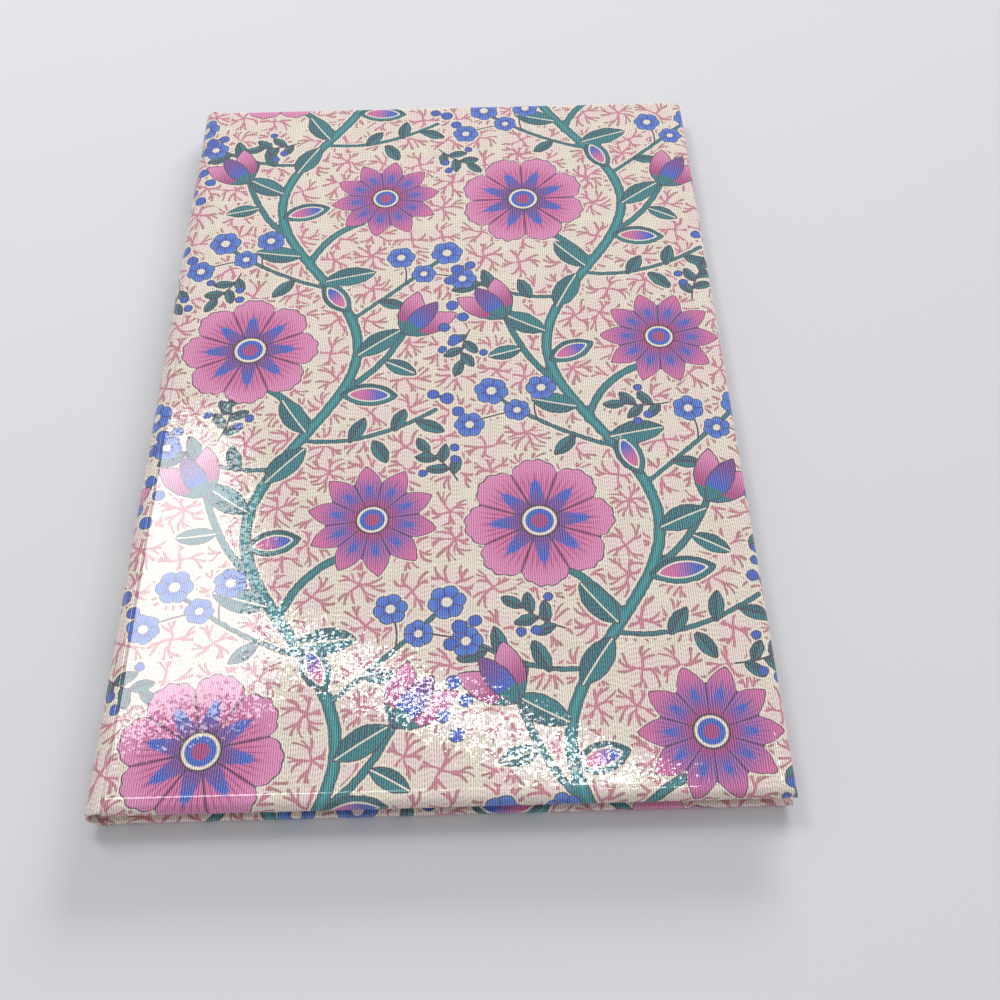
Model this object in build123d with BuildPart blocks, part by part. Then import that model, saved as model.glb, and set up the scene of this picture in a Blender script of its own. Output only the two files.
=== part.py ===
from build123d import *
import os

# A hardback address book, closed and lying on its back cover.
# X runs from the spine to the fore-edge, Y from the tail to the head, and Z up.
# The origin is on the table, under the middle of the closed book. Sizes are in millimetres.

# Covers: a board wrapped in printed paper that is turned in around three edges
cover_length = 156.0  # tail to head
cover_width = 101.0  # hinge line to fore-edge
board_thickness = 1.4
board_rounding = 1.05  # at the outer edges, worn soft under the paper
board_inner_rounding = 0.15
cover_paper = 0.15
turn_in = 14.0
hinge_gap = 0.3  # from the hinge line to the board's back edge

# Endpapers: a pastedown glued inside each cover, and a loose flyleaf facing it
endpaper = 0.1
turn_in_showing = 2.5  # margin of printed paper left around a pastedown
window_clearance = 0.02  # around the pastedown's raised middle

# Index leaves, step-cut at the fore-edge so that every tab shows
letters = "abcdefghijklmnopqrstuvwxyz"
leaf_thickness = 0.075
leaf_gap = 0.006  # air between neighbouring sheets
square = 3.0  # how far the covers reach past the leaves
tab_width = 6.0
tab_corner_radius = 1.0
fold_gap = 0.3  # from the binding axis to the leaves' back edges

# Spine: a rounded sheet of the cover paper on a thin liner, in strips from hinge line to hinge line
spine_strips = 5
spine_liner = 0.25

# Binding: a thread sewn along the fold, knotted at both ends
thread_radius = 0.14
thread_setback = 12.0  # from the leaves' head and tail to the knots
knot_radius = 0.22

# Heights of the stack
cover_thickness = board_thickness + 2 * cover_paper
inside_floor = cover_thickness + endpaper
sheets = len(letters) + 2
leaves_height = len(letters) * leaf_thickness + 2 * endpaper + (sheets + 1) * leaf_gap
book_height = 2 * inside_floor + leaves_height

# Places across the book: the spine is a half circle around the binding axis
spine_radius = book_height / 2
book_width = cover_width + spine_radius
fore_edge_x = book_width / 2
hinge_x = fore_edge_x - cover_width
axis_z = book_height / 2
leaf_back_x = hinge_x + fold_gap
leaf_fore_x = fore_edge_x - square
leaf_width = leaf_fore_x - leaf_back_x
leaf_length = cover_length - 2 * square
tab_step = leaf_length / len(letters)
board_length = cover_length - 2 * cover_paper
board_back_x = hinge_x + hinge_gap
board_fore_x = fore_edge_x - cover_paper
board_width = board_fore_x - board_back_x

os.makedirs("parts", exist_ok=True)


def save(piece, name):
    piece.label = name
    export_step(piece, f"parts/{name}.step")


# The edges of a cover's flat face along the head, tail and fore-edge, but not along the hinge
def wrapped_edges(slab, side_face):
    return side_face.edges() - slab.faces().sort_by(Axis.X)[0].edges()


# Each cover is made at its height in the stack.
# Its inside faces the leaves: up at the back, down at the front.
covers = {
    "back": (0.0, Plane.XY.offset(cover_thickness), 1),
    "front": (book_height - cover_thickness, Plane.XY.offset(book_height - cover_thickness), -1),
}

for side, (cover_z, inside_plane, inward) in covers.items():
    outward_axis = Axis((0, 0, 0), (0, 0, -inward))
    outer_rounding = board_rounding + cover_paper
    inner_rounding = board_inner_rounding + cover_paper

    # Greyboard, rounded at the three edges that the paper wraps
    with BuildPart() as board:
        with BuildSketch(Plane.XY.offset(cover_z + cover_paper)):
            with Locations((board_back_x + board_width / 2, 0)):
                Rectangle(board_width, board_length)
        extrude(amount=board_thickness)
        fillet(wrapped_edges(board, board.faces().sort_by(outward_axis)[-1]), board_rounding)
        fillet(wrapped_edges(board, board.faces().sort_by(outward_axis)[0]), board_inner_rounding)
    save(board.part, f"{side}_board")

    # Printed paper around the board, open at the hinge line and turned in on the inside
    with BuildPart() as wrapper:
        with BuildSketch(Plane.XY.offset(cover_z)):
            with Locations((hinge_x + cover_width / 2, 0)):
                Rectangle(cover_width, cover_length)
        extrude(amount=cover_thickness)
        fillet(wrapped_edges(wrapper, wrapper.faces().sort_by(outward_axis)[-1]), outer_rounding)
        fillet(wrapped_edges(wrapper, wrapper.faces().sort_by(outward_axis)[0]), inner_rounding)
        add(board.part, mode=Mode.SUBTRACT)
        with BuildSketch(Plane.XY.offset(cover_z + cover_paper)):
            with Locations((hinge_x + hinge_gap / 2, 0)):
                Rectangle(hinge_gap, cover_length)
        extrude(amount=board_thickness, mode=Mode.SUBTRACT)
        with BuildSketch(inside_plane):
            with Locations((fore_edge_x - turn_in - cover_width / 2, 0)):
                Rectangle(cover_width, cover_length - 2 * turn_in)
        extrude(amount=-inward * cover_paper, mode=Mode.SUBTRACT)
    save(wrapper.part, f"{side}_cover_paper")

    # Pastedown: a sheet over the turn-ins whose middle sinks between them onto the board
    with BuildPart() as pastedown:
        with BuildSketch(inside_plane):
            sheet_width = fore_edge_x - turn_in_showing - board_back_x
            with Locations((board_back_x + sheet_width / 2, 0)):
                Rectangle(sheet_width, cover_length - 2 * turn_in_showing)
        extrude(amount=inward * endpaper)
        with BuildSketch(inside_plane):
            middle_width = fore_edge_x - turn_in - window_clearance - board_back_x
            with Locations((board_back_x + middle_width / 2, 0)):
                Rectangle(middle_width, cover_length - 2 * turn_in - 2 * window_clearance)
        extrude(amount=-inward * cover_paper)
    save(pastedown.part, f"{side}_pastedown")

# Loose sheets, from the back flyleaf up to the front flyleaf
sheet_z = inside_floor + leaf_gap
with BuildPart() as back_flyleaf:
    with BuildSketch(Plane.XY.offset(sheet_z)):
        with Locations((leaf_back_x + leaf_width / 2, 0)):
            Rectangle(leaf_width, leaf_length)
    extrude(amount=endpaper)
save(back_flyleaf.part, "back_flyleaf")
sheet_z += endpaper + leaf_gap

for place, letter in reversed(list(enumerate(letters))):
    # Below its own tab a leaf is cut narrower, which bares the tabs of the letters after it
    tab_foot = leaf_length / 2 - (place + 1) * tab_step
    cut_length = tab_foot + leaf_length / 2
    with BuildPart() as leaf:
        with BuildSketch(Plane.XY.offset(sheet_z)) as leaf_outline:
            with Locations((leaf_back_x + leaf_width / 2, 0)):
                Rectangle(leaf_width, leaf_length)
            if letter != letters[-1]:
                with Locations((leaf_fore_x - tab_width / 2, tab_foot - cut_length / 2)):
                    Rectangle(tab_width, cut_length, mode=Mode.SUBTRACT)
            fillet(leaf_outline.vertices().group_by(Axis.X)[-1].sort_by(Axis.Y)[0], tab_corner_radius)
        extrude(amount=leaf_thickness)
    save(leaf.part, f"leaf_{letter}")
    sheet_z += leaf_thickness + leaf_gap

with BuildPart() as front_flyleaf:
    with BuildSketch(Plane.XY.offset(sheet_z)):
        with Locations((leaf_back_x + leaf_width / 2, 0)):
            Rectangle(leaf_width, leaf_length)
    extrude(amount=endpaper)
save(front_flyleaf.part, "front_flyleaf")

# Spine strips, from the back cover's hinge line round to the front cover's
strip_angle = 180.0 / spine_strips
layers = {
    "spine_paper": (spine_radius, cover_paper, cover_length),
    "spine_liner": (spine_radius - cover_paper, spine_liner, board_length),
}

for layer, (outer_radius, thickness, length) in layers.items():
    for number in range(1, spine_strips + 1):
        first_angle = 270.0 - number * strip_angle
        with BuildPart() as strip:
            with BuildSketch(Plane.XZ):
                with BuildLine():
                    outside = CenterArc((hinge_x, axis_z), outer_radius, first_angle, strip_angle)
                    inside = CenterArc((hinge_x, axis_z), outer_radius - thickness, first_angle, strip_angle)
                    Line(outside @ 0, inside @ 0)
                    Line(outside @ 1, inside @ 1)
                make_face()
            extrude(amount=length / 2, both=True)
        save(strip.part, f"{layer}_{number}")

# Thread: a run along the fold, behind the leaves' back edges
thread_length = leaf_length - 2 * thread_setback
with BuildPart() as thread:
    with BuildSketch(Plane.XZ):
        with Locations((hinge_x, axis_z)):
            Circle(thread_radius)
    extrude(amount=thread_length / 2, both=True)
    with Locations((hinge_x, -thread_length / 2, axis_z), (hinge_x, thread_length / 2, axis_z)):
        Sphere(knot_radius)
save(thread.part, "sewing_thread")
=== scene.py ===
import math
import random

import bmesh
import bpy
import numpy as np
from mathutils import Matrix, Vector


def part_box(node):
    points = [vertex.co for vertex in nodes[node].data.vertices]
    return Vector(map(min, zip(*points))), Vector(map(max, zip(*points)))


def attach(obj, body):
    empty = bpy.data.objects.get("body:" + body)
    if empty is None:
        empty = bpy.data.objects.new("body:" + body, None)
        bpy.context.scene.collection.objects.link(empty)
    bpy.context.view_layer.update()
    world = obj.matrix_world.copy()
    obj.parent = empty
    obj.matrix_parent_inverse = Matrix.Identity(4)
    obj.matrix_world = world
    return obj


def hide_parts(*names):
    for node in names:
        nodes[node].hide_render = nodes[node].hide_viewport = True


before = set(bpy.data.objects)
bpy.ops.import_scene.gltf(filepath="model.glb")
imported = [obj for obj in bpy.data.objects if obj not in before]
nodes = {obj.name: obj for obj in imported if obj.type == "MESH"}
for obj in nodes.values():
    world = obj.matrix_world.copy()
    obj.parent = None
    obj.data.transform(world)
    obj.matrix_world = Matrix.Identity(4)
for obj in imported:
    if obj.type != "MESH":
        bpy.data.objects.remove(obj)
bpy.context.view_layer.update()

# sizes come from the frame: metres in the scene, millimetres on the printed sheet
mm = 0.001
tiny = 1e-7  # metres, less than any real gap
quarterTurn = math.pi / 2
fullTurn = 2 * math.pi
coverLow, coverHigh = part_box("front_cover_paper")
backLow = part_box("back_cover_paper")[0]
leafLow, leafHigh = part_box("leaf_z")
hingeX = coverLow.x
foreX = coverHigh.x
halfLength = coverHigh.y
bookHeight = coverHigh.z
coverThickness = coverHigh.z - coverLow.z
spineRadius = bookHeight / 2
spineArc = math.pi * spineRadius / mm
print("frame loaded: book height", round(bookHeight / mm, 3), "mm")


# inks are written as screen colours and turned into linear light
def srgb(red, green, blue):
    def linear(value):
        value /= 255
        return value / 12.92 if value <= 0.04045 else ((value + 0.055) / 1.055) ** 2.4
    return (linear(red), linear(green), linear(blue), 1.0)


def addNode(tree, kind, inputs=None, **settings):
    node = tree.nodes.new(kind)
    for name, value in settings.items():
        setattr(node, name, value)
    for key, value in (inputs or {}).items():
        if isinstance(value, bpy.types.NodeSocket):
            tree.links.new(value, node.inputs[key])
        else:
            node.inputs[key].default_value = value
    return node


def calc(tree, operation, first, second=0.0, third=0.0):
    inputs = {0: first, 1: second, 2: third}
    return addNode(tree, "ShaderNodeMath", inputs, operation=operation).outputs[0]


def minus(tree, first, second):
    return calc(tree, "SUBTRACT", first, second)


def times(tree, first, second):
    return calc(tree, "MULTIPLY", first, second)


def timesPlus(tree, first, second, third):
    return calc(tree, "MULTIPLY_ADD", first, second, third)


def least(tree, *values):
    smallest = values[0]
    for value in values[1:]:
        smallest = calc(tree, "MINIMUM", smallest, value)
    return smallest


def hypotenuse(tree, first, second):
    return calc(tree, "SQRT", timesPlus(tree, first, first, times(tree, second, second)))


def vectorCalc(tree, operation, first, second=(0.0, 0.0, 0.0)):
    return addNode(tree, "ShaderNodeVectorMath", {0: first, 1: second}, operation=operation).outputs[0]


def scaled(tree, vector, scale):
    return vectorCalc(tree, "MULTIPLY", vector, scale)


# a random colour, moved so that it swings round zero
def centred(tree, colour):
    return vectorCalc(tree, "SUBTRACT", colour, (0.5, 0.5, 0.5))


def split(tree, vector):
    return addNode(tree, "ShaderNodeSeparateXYZ", {0: vector}).outputs


# a soft step from start to stop while the value goes from low to high
def ramp(tree, value, low, high, start=0.0, stop=1.0):
    inputs = {"Value": value, "From Min": low, "From Max": high, "To Min": start, "To Max": stop}
    return addNode(tree, "ShaderNodeMapRange", inputs, interpolation_type="SMOOTHSTEP").outputs[0]


def mix(tree, factor, first, second, **settings):
    inputs = {0: factor, 6: first, 7: second}
    return addNode(tree, "ShaderNodeMix", inputs, data_type="RGBA", **settings).outputs[2]


# the second colour is mixed into the first by a ramp across the span
def blend(tree, value, span, first, second):
    return mix(tree, ramp(tree, value, *span), first, second)


# ink covers what is under it where the value is below the span
def paint(tree, under, value, span, ink):
    return mix(tree, ramp(tree, value, *span, 1.0, 0.0), under, ink)


def noise(tree, vector, scale, detail=2.0, roughness=0.5, output="Fac"):
    inputs = {"Vector": vector, "Scale": scale, "Detail": detail, "Roughness": roughness}
    return addNode(tree, "ShaderNodeTexNoise", inputs).outputs[output]


def voronoi(tree, vector, scale, randomness=1.0, feature="F1"):
    inputs = {"Vector": vector, "Scale": scale, "Randomness": randomness}
    return addNode(tree, "ShaderNodeTexVoronoi", inputs, feature=feature, voronoi_dimensions="2D").outputs


def whiteNoise(tree, dimensions, **inputs):
    return addNode(tree, "ShaderNodeTexWhiteNoise", inputs, noise_dimensions=dimensions).outputs["Value"]


def newGroup(name, inputs, outputs):
    tree = bpy.data.node_groups.new(name, "ShaderNodeTree")
    for way, sockets in (("INPUT", inputs), ("OUTPUT", outputs)):
        for socketName, kind in sockets:
            tree.interface.new_socket(name=socketName, in_out=way, socket_type="NodeSocket" + kind)
    return tree, addNode(tree, "NodeGroupInput").outputs, addNode(tree, "NodeGroupOutput").inputs


def useGroup(tree, group, **inputs):
    return addNode(tree, "ShaderNodeGroup", inputs, node_tree=group).outputs


def newMaterial(name):
    material = bpy.data.materials.new(name)
    material.use_nodes = True
    tree = material.node_tree
    return material, tree, tree.nodes["Principled BSDF"]


# one printed motif: an outline round a filled shape, laid over what is printed below it
inkEdge = 0.05  # half the width of an ink's soft edge
inkLayer, given, made = newGroup(
    "inkLayer",
    [("Under", "Color"), ("Fill", "Color"), ("Outline", "Color"), ("Distance", "Float"), ("Line", "Float")],
    [("Color", "Color")],
)
lineOuter = minus(inkLayer, given["Distance"], given["Line"])
lined = paint(inkLayer, given["Under"], lineOuter, (-inkEdge, inkEdge), given["Outline"])
filled = paint(inkLayer, lined, given["Distance"], (-inkEdge, inkEdge), given["Fill"])
inkLayer.links.new(filled, made["Color"])

# paper fibre: a fine cloudy bump with a slight change of tone
fibres = {
    "stretch": (1.0, 0.45, 1.0), "fine": (3.2, 5.0, 0.65), "cloud": (0.12, 3.0),
    "fineTone": 0.08, "cloudTone": 0.06, "leastTone": 0.9,
}
paperFibre, given, made = newGroup(
    "paperFibre", [("Place", "Vector")], [("Height", "Float"), ("Tone", "Float")]
)
fine = noise(paperFibre, scaled(paperFibre, given["Place"], fibres["stretch"]), *fibres["fine"])
cloud = noise(paperFibre, given["Place"], *fibres["cloud"])
cloudTone = times(paperFibre, cloud, fibres["cloudTone"])
toned = timesPlus(paperFibre, fine, fibres["fineTone"], cloudTone)
paperFibre.links.new(fine, made["Height"])
paperFibre.links.new(calc(paperFibre, "ADD", toned, fibres["leastTone"]), made["Tone"])

# linen weave pressed into the film: upright cords that dip under at staggered places
weave = {
    "pitch": 0.35, "float": 0.85,  # from cord to cord, and along a cord from dip to dip
    "wander": 1.6, "wanderScale": (0.5, 0.12, 1.0), "dip": (-0.9, 0.1, 0.25, 1.0),
    "ripple": 5.0, "rippleScale": 0.16, "grain": 2.5, "grainScale": (1.5, 0.9, 1.0), "relief": 0.5,
    "facet": (2.4, 3.3, 1.0), "tilt": 0.03,  # small facets glint one by one
}
linenRib, given, made = newGroup(
    "linenRib", [("Sheet", "Vector")], [("Height", "Float"), ("Cord", "Float"), ("Tilt", "Vector")]
)
tree = linenRib
acrossSheet, upSheet, _ = split(tree, given["Sheet"])
wander = noise(tree, scaled(tree, given["Sheet"], weave["wanderScale"]), 1.0)
drift = timesPlus(tree, wander, weave["wander"], calc(tree, "DIVIDE", acrossSheet, weave["pitch"]))
cord = calc(tree, "COSINE", times(tree, drift, fullTurn))
stagger = whiteNoise(tree, "1D", W=calc(tree, "ROUND", drift))
alongCord = calc(tree, "ADD", calc(tree, "DIVIDE", upSheet, weave["float"]), stagger)
dip = calc(tree, "COSINE", times(tree, alongCord, fullTurn))
woven = timesPlus(tree, times(tree, cord, ramp(tree, dip, *weave["dip"])), 0.5, 0.5)
ripple = noise(tree, given["Sheet"], weave["rippleScale"], 1.0)
grain = noise(tree, scaled(tree, given["Sheet"], weave["grainScale"]), 1.0, 0.0)
relief = timesPlus(tree, ripple, weave["ripple"], times(tree, grain, weave["grain"]))
facet = voronoi(tree, scaled(tree, given["Sheet"], weave["facet"]), 1.0)["Color"]
tree.links.new(woven, made["Cord"])
tree.links.new(timesPlus(tree, woven, weave["relief"], relief), made["Height"])
tree.links.new(scaled(tree, centred(tree, facet), (weave["tilt"],) * 3), made["Tilt"])

# pink twigs between the flowers: forked spokes, spread from one point in each cell
twig = {
    "cell": 7.3, "random": 0.42, "edge": 0.2, "line": 0.45, "spokes": 4.0, "more": 2.4,
    "bend": 2.2, "bendScale": 0.16, "curl": 0.16, "curlRate": 0.86, "stagger": 0.3, "lean": 0.6,
    "tip": (1.2, 3.6), "low": (0.8, 0.9), "lowLength": 2.7, "high": (0.8, 1.7), "highLength": 2.2,
    "curlSpread": 40.0, "seedSpread": 61.0, "flipRate": 7.0,  # these make each twig's chances its own
}
twigFiller, given, made = newGroup(
    "twigFiller", [("Sheet", "Vector")], [("Distance", "Float"), ("Reach", "Float")]
)
tree = twigFiller
swing = centred(tree, noise(tree, given["Sheet"], twig["bendScale"], 1.0, output="Color"))
push = scaled(tree, swing, (twig["bend"], twig["bend"], 0.0))
bent = vectorCalc(tree, "ADD", push, given["Sheet"])
cell = voronoi(tree, bent, 1 / twig["cell"], twig["random"])
border = voronoi(tree, bent, 1 / twig["cell"], twig["random"], "DISTANCE_TO_EDGE")["Distance"]
rootX, rootY, _ = split(tree, vectorCalc(tree, "SUBTRACT", bent, cell["Position"]))
turnChance, countChance, ownChance = addNode(tree, "ShaderNodeSeparateColor", {0: cell["Color"]}).outputs
reach = hypotenuse(tree, rootX, rootY)
angle = timesPlus(tree, turnChance, fullTurn, calc(tree, "ARCTAN2", rootY, rootX))
spokes = calc(tree, "FLOOR", timesPlus(tree, countChance, twig["more"], twig["spokes"]))
phase = timesPlus(tree, ownChance, twig["curlSpread"], times(tree, reach, twig["curlRate"]))
curled = timesPlus(tree, calc(tree, "SINE", phase), twig["curl"], angle)
turnShare = times(tree, calc(tree, "DIVIDE", curled, fullTurn), spokes)
nearest = calc(tree, "ROUND", turnShare)
spokeId = calc(tree, "FLOORED_MODULO", nearest, spokes)
seed = {0: spokeId, 1: times(tree, ownChance, twig["seedSpread"])}
luck = whiteNoise(tree, "2D", Vector=addNode(tree, "ShaderNodeCombineXYZ", seed).outputs[0])
offShare = calc(tree, "DIVIDE", minus(tree, turnShare, nearest), spokes)
stagger = times(tree, minus(tree, 0.5, luck), twig["stagger"])
offAngle = timesPlus(tree, offShare, fullTurn, stagger)
along = times(tree, reach, calc(tree, "COSINE", offAngle))
evenChance = calc(tree, "FRACT", times(tree, luck, twig["flipRate"]))
flip = calc(tree, "SIGN", minus(tree, evenChance, 0.5))
aside = times(tree, times(tree, reach, calc(tree, "SINE", offAngle)), flip)


# how far a point is from a straight branch with round ends
def branch(tree, start, lean, length, side):
    c, s = math.cos(lean), math.sin(lean)
    past = minus(tree, along, start)
    way = timesPlus(tree, past, c, times(tree, side, s))
    held = calc(tree, "MINIMUM", calc(tree, "MAXIMUM", way, 0.0), length)
    return hypotenuse(tree, timesPlus(tree, held, -c, past), timesPlus(tree, held, -s, side))


otherSide = times(tree, aside, -1.0)
lowStart = timesPlus(tree, luck, *twig["low"])
highStart = timesPlus(tree, luck, *twig["high"])
stalk = branch(tree, 0.0, 0.0, timesPlus(tree, luck, *twig["tip"]), aside)
lowFork = branch(tree, lowStart, twig["lean"], twig["lowLength"], aside)
highFork = branch(tree, highStart, twig["lean"], twig["highLength"], otherSide)
drawn = minus(tree, least(tree, stalk, lowFork, highFork), twig["line"] / 2)
fromBorder = minus(tree, twig["edge"], times(tree, border, twig["cell"]))
tree.links.new(calc(tree, "MAXIMUM", drawn, fromBorder), made["Distance"])
tree.links.new(reach, made["Reach"])

# printed paper: fields that the sheet carries, drawn as flat inks under a glossy film
inks = {
    "ground": srgb(237, 228, 209), "groundShade": srgb(230, 218, 195), "groundPink": srgb(238, 214, 208),
    "twig": srgb(204, 126, 142), "twigTip": srgb(172, 126, 120), "plum": srgb(72, 42, 70),
    "teal": srgb(8, 116, 124), "tealLight": srgb(34, 146, 148), "tealDark": srgb(6, 92, 104),
    "pink": srgb(212, 104, 158), "pinkPale": srgb(222, 134, 180), "magenta": srgb(168, 58, 126),
    "blue": srgb(42, 92, 194), "bluePale": srgb(70, 122, 212), "purple": srgb(116, 60, 142),
    "violet": srgb(150, 92, 170), "cream": srgb(240, 228, 206), "worn": srgb(240, 232, 220),
    # cord is a painted highlight where the weave's cords reflect the sky, and gap is painted shade in the
    # hollows between the cords
    "cord": srgb(242, 240, 236), "gap": srgb(74, 54, 42),
}
outlines = {
    "twig": 0.0, "stem": 0.15, "leaf": 0.18, "bud": 0.2, "budHeart": 0.18,
    "star": 0.17, "bloom": 0.22, "berry": 0.17,
}
kindStep = 4.0  # a motif's kind and the share along it are kept in one number, this far apart
printedPaper, tree, shader = newMaterial("printedPaper")


def field(name):
    return addNode(tree, "ShaderNodeAttribute", attribute_name=name).outputs["Vector"]


def layer(under, fill, distance, line, outline=inks["plum"]):
    wavering = calc(tree, "ADD", distance, wobble)
    motif = {"Under": under, "Fill": fill, "Outline": outline, "Distance": wavering, "Line": line}
    return useGroup(tree, inkLayer, **motif)["Color"]


# the kind and the share in a code, where a share may start this far below zero
def unpacked(code, below):
    kind = calc(tree, "FLOOR", timesPlus(tree, code, 1 / kindStep, below / kindStep))
    return kind, minus(tree, code, times(tree, kind, kindStep))


sheet = field("sheet")
wornPart = split(tree, sheet)[2]
flat = scaled(tree, sheet, (1.0, 1.0, 0.0))
stem, berry, _ = split(tree, field("stemField"))
thin, thinSide, _ = split(tree, field("thinField"))
leaf, leafSide, leafCode = split(tree, field("leafField"))
bloom, bloomCode, bloomTurn = split(tree, field("bloomField"))
bud, budHeart, budAlong = split(tree, field("budField"))
star, starReach, starTurn = split(tree, field("starField"))

# the ground is flushed pink round each twig's root and left bare round the larger motifs
groundLook = {
    "wobble": 0.5, "wobbleScale": 0.8,  # the print's edges waver a little
    "blotchNoise": (0.25, 3.0), "blotch": (0.35, 0.7),
    "flush": (2.0, 5.0, 0.85, 0.0), "tip": (1.5, 4.5), "bare": (0.5, 0.62),
}
waver = noise(tree, flat, groundLook["wobbleScale"])
wobble = timesPlus(tree, waver, groundLook["wobble"], -groundLook["wobble"] / 2)
twigs = useGroup(tree, twigFiller, Sheet=flat)
blotch = noise(tree, flat, *groundLook["blotchNoise"])
ground = blend(tree, blotch, groundLook["blotch"], inks["ground"], inks["groundShade"])
flushed = blend(tree, twigs["Reach"], groundLook["flush"], ground, inks["groundPink"])
twigTone = blend(tree, twigs["Reach"], groundLook["tip"], inks["twig"], inks["twigTip"])
colour = layer(flushed, twigTone, twigs["Distance"], outlines["twig"], inks["twig"])
nearMotif = least(tree, stem, leaf, bloom, bud, star, berry, thin)
colour = paint(tree, colour, nearMotif, groundLook["bare"], inks["ground"])

# stems: teal with a lighter middle, or a thin plum line
stemLook = {"middle": (-0.62, -0.3), "thin": (0.12, 0.2), "thinReach": 0.45}
stemTone = blend(tree, stem, stemLook["middle"], inks["tealLight"], inks["teal"])
colour = layer(colour, stemTone, stem, outlines["stem"])
onThin = ramp(tree, calc(tree, "ABSOLUTE", thinSide), *stemLook["thin"], 1.0, 0.0)
onThin = times(tree, onThin, calc(tree, "LESS_THAN", thin, stemLook["thinReach"]))
colour = mix(tree, onThin, colour, inks["plum"])

# leaves: kind 0 is barbed, 1 has a coloured heart and 2 is small and plain
leafLook = {
    "half": (-0.15, 0.15), "barbs": 52.0, "barbLean": -4.2, "barb": (0.78, 0.94, 0.0, 0.55),
    "midrib": (0.1, 0.18), "lining": (-0.82, -0.72), "heart": (-1.12, -1.02), "heartTone": (0.3, 0.75),
}
leafKind, leafAlong = unpacked(leafCode, 1.0)
leafSpan = calc(tree, "ABSOLUTE", leafSide)
leafHalf = blend(tree, leafSide, leafLook["half"], inks["teal"], inks["tealDark"])
barbs = timesPlus(tree, leafAlong, leafLook["barbs"], times(tree, leafSpan, leafLook["barbLean"]))
barbed = blend(tree, calc(tree, "SINE", barbs), leafLook["barb"], leafHalf, inks["tealLight"])
barbedLeaf = paint(tree, barbed, leafSpan, leafLook["midrib"], inks["cream"])
heartTone = blend(tree, leafAlong, leafLook["heartTone"], inks["pink"], inks["blue"])
lining = paint(tree, leafHalf, leaf, leafLook["lining"], inks["cream"])
heartLeaf = paint(tree, lining, leaf, leafLook["heart"], heartTone)
smallLeaf = paint(tree, leafHalf, leafSpan, leafLook["midrib"], inks["plum"])
leafInk = mix(tree, calc(tree, "GREATER_THAN", leafKind, 0.5), barbedLeaf, heartLeaf)
leafInk = mix(tree, calc(tree, "GREATER_THAN", leafKind, 1.5), leafInk, smallLeaf)
colour = layer(colour, leafInk, leaf, outlines["leaf"])

# buds: two pink petals round a blue heart, in a teal cup
budLook = {"petal": (0.2, 0.85), "heart": (0.25, 0.8), "cup": (0.2, 0.23), "heartCup": (0.26, 0.29)}
petals = blend(tree, budAlong, budLook["petal"], inks["magenta"], inks["pinkPale"])
heart = blend(tree, budAlong, budLook["heart"], inks["blue"], inks["purple"])
cupped = paint(tree, petals, budAlong, budLook["cup"], inks["teal"])
colour = layer(colour, cupped, bud, outlines["bud"])
heartCupped = paint(tree, heart, budAlong, budLook["heartCup"], inks["teal"])
colour = layer(colour, heartCupped, budHeart, outlines["budHeart"])

# small blue flowers with a cream eye
starLook = {"tone": (0.3, 0.9), "cleft": (0.07, 0.12), "eye": (0.26, 0.34)}
petals = blend(tree, starReach, starLook["tone"], inks["blue"], inks["bluePale"])
cleft = times(tree, calc(tree, "ABSOLUTE", starTurn), starReach)
cleaved = paint(tree, petals, cleft, starLook["cleft"], inks["plum"])
eyed = paint(tree, cleaved, starReach, starLook["eye"], inks["cream"])
colour = layer(colour, eyed, star, outlines["star"])

# large flowers with blue flames: kind 0 is pink, and 1 is violet near its eye
bloomLook = {
    "tone": (0.45, 0.95), "veins": 14.0, "vein": (0.6, 0.92), "veinReach": (0.6, 0.88),
    "mostSide": 0.9999, "flamePower": 3.0, "flameLength": 0.32, "flameFoot": 0.36, "ragged": 0.03,
    "rags": 24.0, "flameEdge": (-0.04, 0.03), "flameTone": (0.26, 0.6), "cleft": (0.03, 0.05),
    "rings": [
        ((0.255, 0.275), "plum"), ((0.225, 0.24), "cream"),
        ((0.185, 0.2), "blue"), ((0.105, 0.12), "magenta"),
    ],
}
bloomKind, bloomReach = unpacked(bloomCode, 0.0)
bloomSide = calc(tree, "ABSOLUTE", bloomTurn)
outerTone = mix(tree, bloomKind, inks["pinkPale"], inks["pink"])
innerTone = mix(tree, bloomKind, inks["pink"], inks["violet"])
veinTone = mix(tree, bloomKind, inks["magenta"], inks["purple"])
flameDeep = mix(tree, bloomKind, inks["purple"], inks["magenta"])
petals = blend(tree, bloomReach, bloomLook["tone"], innerTone, outerTone)
angle = calc(tree, "ARCSINE", calc(tree, "MINIMUM", bloomSide, bloomLook["mostSide"]))
vein = ramp(tree, calc(tree, "SINE", times(tree, angle, bloomLook["veins"])), *bloomLook["vein"])
veinFade = ramp(tree, bloomReach, *bloomLook["veinReach"], 1.0, 0.0)
veined = mix(tree, times(tree, vein, veinFade), petals, veinTone)
flameRise = calc(tree, "POWER", bloomSide, bloomLook["flamePower"])
flameEdge = timesPlus(tree, flameRise, bloomLook["flameLength"], bloomLook["flameFoot"])
ragged = times(tree, calc(tree, "SINE", times(tree, angle, bloomLook["rags"])), bloomLook["ragged"])
flamePlace = minus(tree, calc(tree, "ADD", bloomReach, ragged), flameEdge)
flameTone = blend(tree, bloomReach, bloomLook["flameTone"], flameDeep, inks["blue"])
flamed = paint(tree, veined, flamePlace, bloomLook["flameEdge"], flameTone)
eyed = paint(tree, flamed, times(tree, bloomSide, bloomReach), bloomLook["cleft"], inks["plum"])
for span, ink in bloomLook["rings"]:
    eyed = paint(tree, eyed, bloomReach, span, inks[ink])
colour = layer(colour, eyed, bloom, outlines["bloom"])
colour = layer(colour, inks["blue"], berry, outlines["berry"])
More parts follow.
